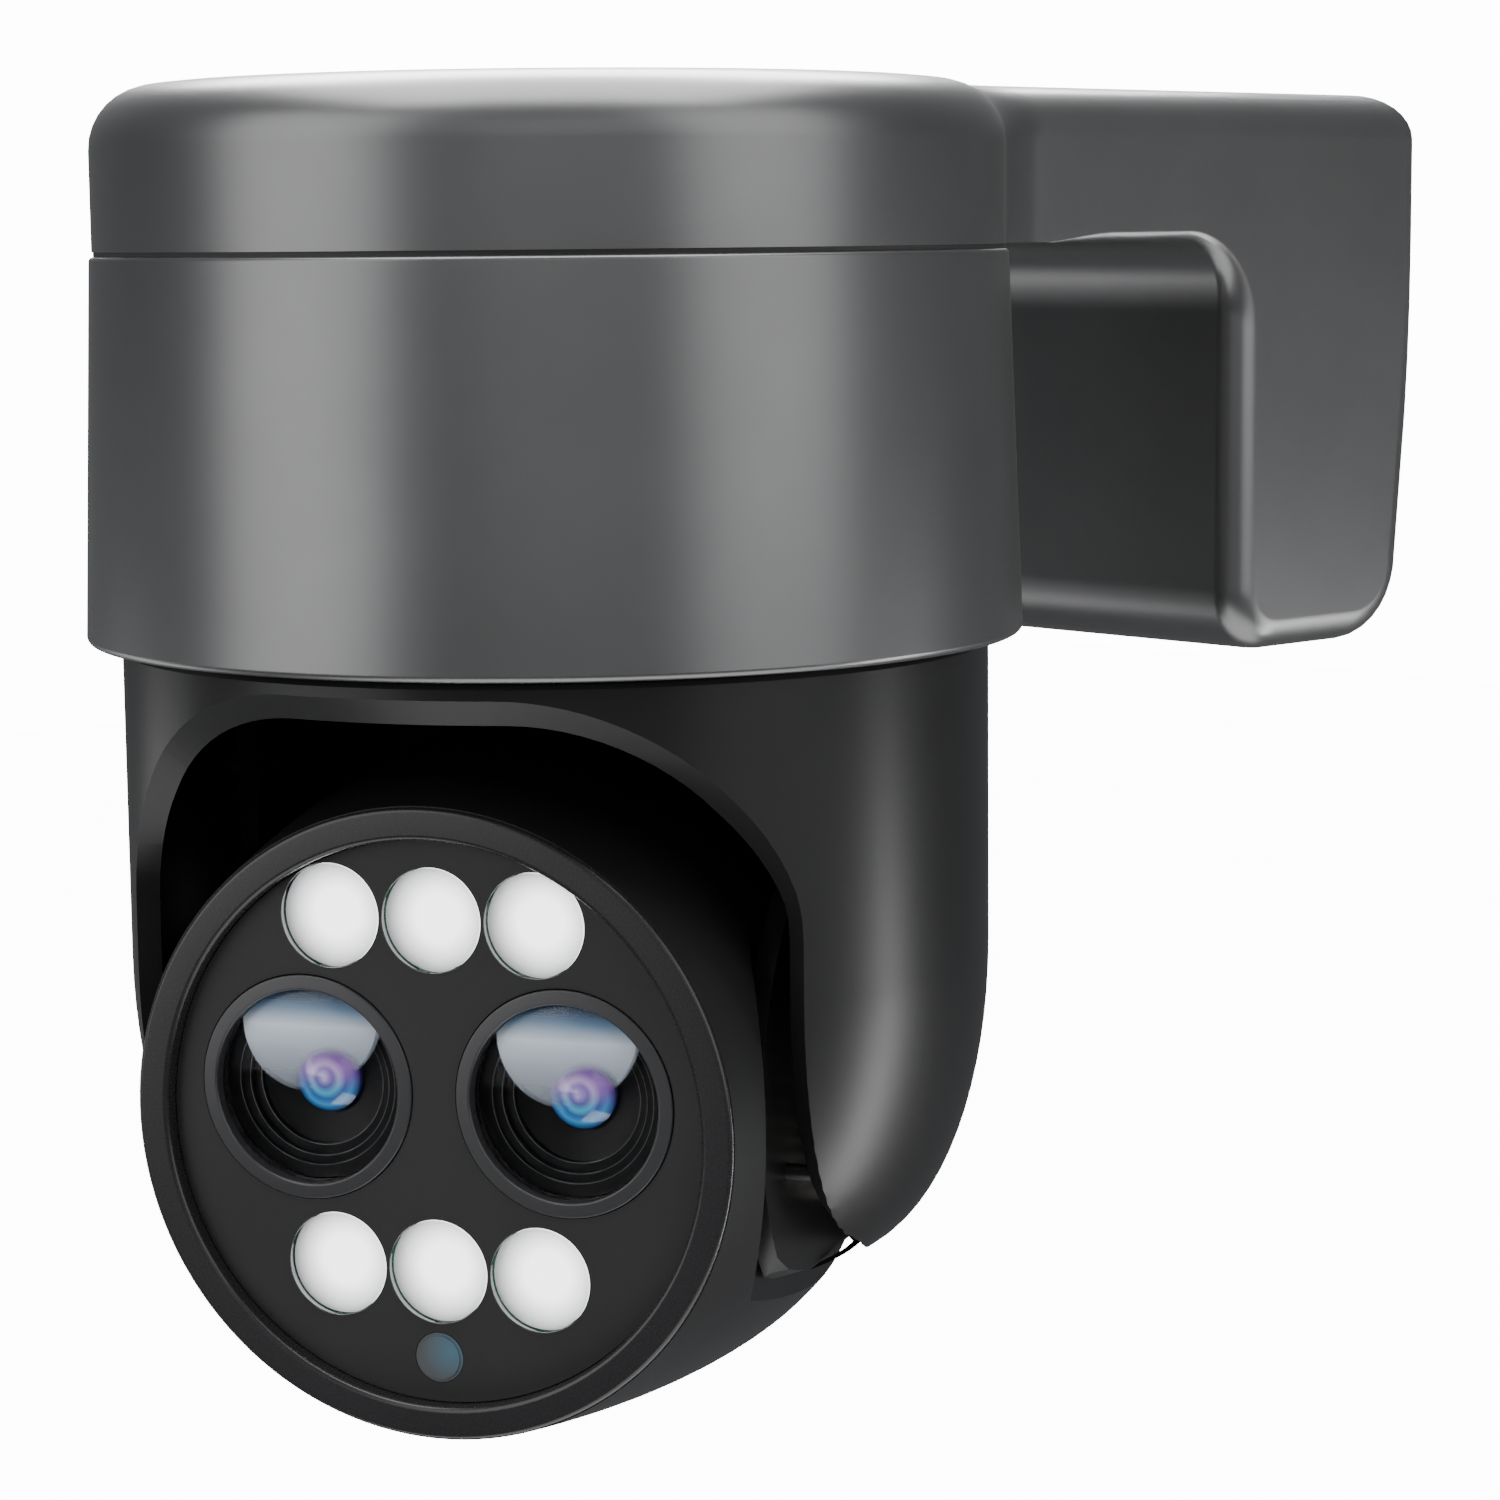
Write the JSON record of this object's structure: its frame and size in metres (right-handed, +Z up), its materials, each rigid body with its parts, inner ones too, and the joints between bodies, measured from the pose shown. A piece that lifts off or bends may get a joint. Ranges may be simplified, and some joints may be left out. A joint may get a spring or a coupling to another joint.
{
  "type": "pan tilt security camera",
  "caption": "Wall-mounted pan and tilt security camera: bracket arm, round base housing, U-shaped yoke and ball head with two lenses and white lamps.",
  "frame": {"origin": "centre of the wall plate's bolt pattern, on the plate's back face", "axes": "+Z up, +Y into the wall, so the camera reaches out along -Y; X sideways"},
  "size_m": [0.12, 0.196, 0.1704],
  "materials": {
    "gunmetal": "satin",
    "plate_steel": "satin",
    "screw_steel": "satin",
    "black_rubber": "matte",
    "grey_plastic": "matte",
    "circuit_board": "satin",
    "chip_black": "matte",
    "motor_steel": "satin",
    "bearing_steel": "polished",
    "gear_nylon": "matte",
    "black_plastic": "fine texture",
    "bezel_plastic": "satin",
    "face_plastic": "fine texture",
    "ring_metal": "satin",
    "barrel_black": "matte",
    "window_glass": "clear, coated",
    "coated_glass": "coated",
    "lamp_clear": "clear",
    "lamp_phosphor": "matte",
    "sensor_window": "gloss"
  },
  "bodies": {
    "base": {"wall_plate": "plate_steel", "bracket_shell": "gunmetal", "lock_screws": "screw_steel", "cable_grommet": "black_rubber", "seam_gasket": "black_rubber", "base_housing": "gunmetal", "housing_screws": "screw_steel", "pan_chassis": "grey_plastic", "chassis_screws": "screw_steel", "main_board": "circuit_board", "board_parts": "chip_black", "board_screws": "screw_steel", "pan_motor": "motor_steel", "pan_motor_screws": "screw_steel", "pan_bearing_outer": "bearing_steel", "pan_bearing_balls": "bearing_steel"},
    "pan_pinion": {"pan_pinion": "gear_nylon"},
    "yoke": {"pan_gear": "gear_nylon", "yoke_hub": "grey_plastic", "gear_nut": "screw_steel", "pan_bearing_inner": "bearing_steel", "hub_screws": "screw_steel", "yoke_shell": "black_plastic", "cheek_left": "black_plastic", "cheek_right": "black_plastic", "cheek_screws": "screw_steel", "tilt_bushes": "gear_nylon", "tilt_motor": "motor_steel", "tilt_motor_screws": "screw_steel"},
    "tilt_pinion": {"tilt_pinion": "gear_nylon"},
    "head": {"tilt_gear": "gear_nylon", "trunnion_left": "grey_plastic", "trunnion_right": "grey_plastic", "trunnion_screws": "screw_steel", "head_front_shell": "black_plastic", "head_rear_shell": "black_plastic", "head_screws": "screw_steel", "head_bezel": "bezel_plastic", "bezel_seal": "black_rubber", "face_plate": "face_plastic", "lens_ring_left": "ring_metal", "lens_ring_right": "ring_metal", "lens_barrel_left": "barrel_black", "lens_barrel_right": "barrel_black", "lens_window_left": "window_glass", "lens_window_right": "window_glass", "lens_core_left": "coated_glass", "lens_core_right": "coated_glass", "sensor_board_left": "circuit_board", "sensor_board_right": "circuit_board", "lamp_lenses": "lamp_clear", "lamp_chips": "lamp_phosphor", "lamp_board": "circuit_board", "light_sensor": "sensor_window", "head_frame": "grey_plastic", "frame_screws": "screw_steel", "card_cover": "black_plastic", "card_cover_screws": "screw_steel"}
  },
  "joints": [
    {"name": "pan", "type": "hinge", "parent": "base", "child": "yoke", "pos_m": [0, -0.136, 0], "axis": [0, 0, 1], "range_deg": [-206.5, 148.5]},
    {"name": "pan_pinion_spin", "type": "hinge", "parent": "base", "child": "pan_pinion", "pos_m": [-0.00521, -0.10646, -0.02], "axis": [0, 0, 1], "range_deg": [-600, 830]},
    {"name": "tilt", "type": "hinge", "parent": "yoke", "child": "head", "pos_m": [0, -0.136, -0.0885], "axis": [0.8746, 0.4848, 0], "range_deg": [-5, 90]},
    {"name": "tilt_pinion_spin", "type": "hinge", "parent": "yoke", "child": "tilt_pinion", "pos_m": [-0.00271, -0.13111, -0.06764], "axis": [0.8746, 0.4848, 0], "range_deg": [-260, 16]}
  ],
  "couplings": [
    {"joint": "pan_pinion_spin", "follows": "pan", "ratio": -4},
    {"joint": "tilt_pinion_spin", "follows": "tilt", "ratio": -2.8571}
  ]
}
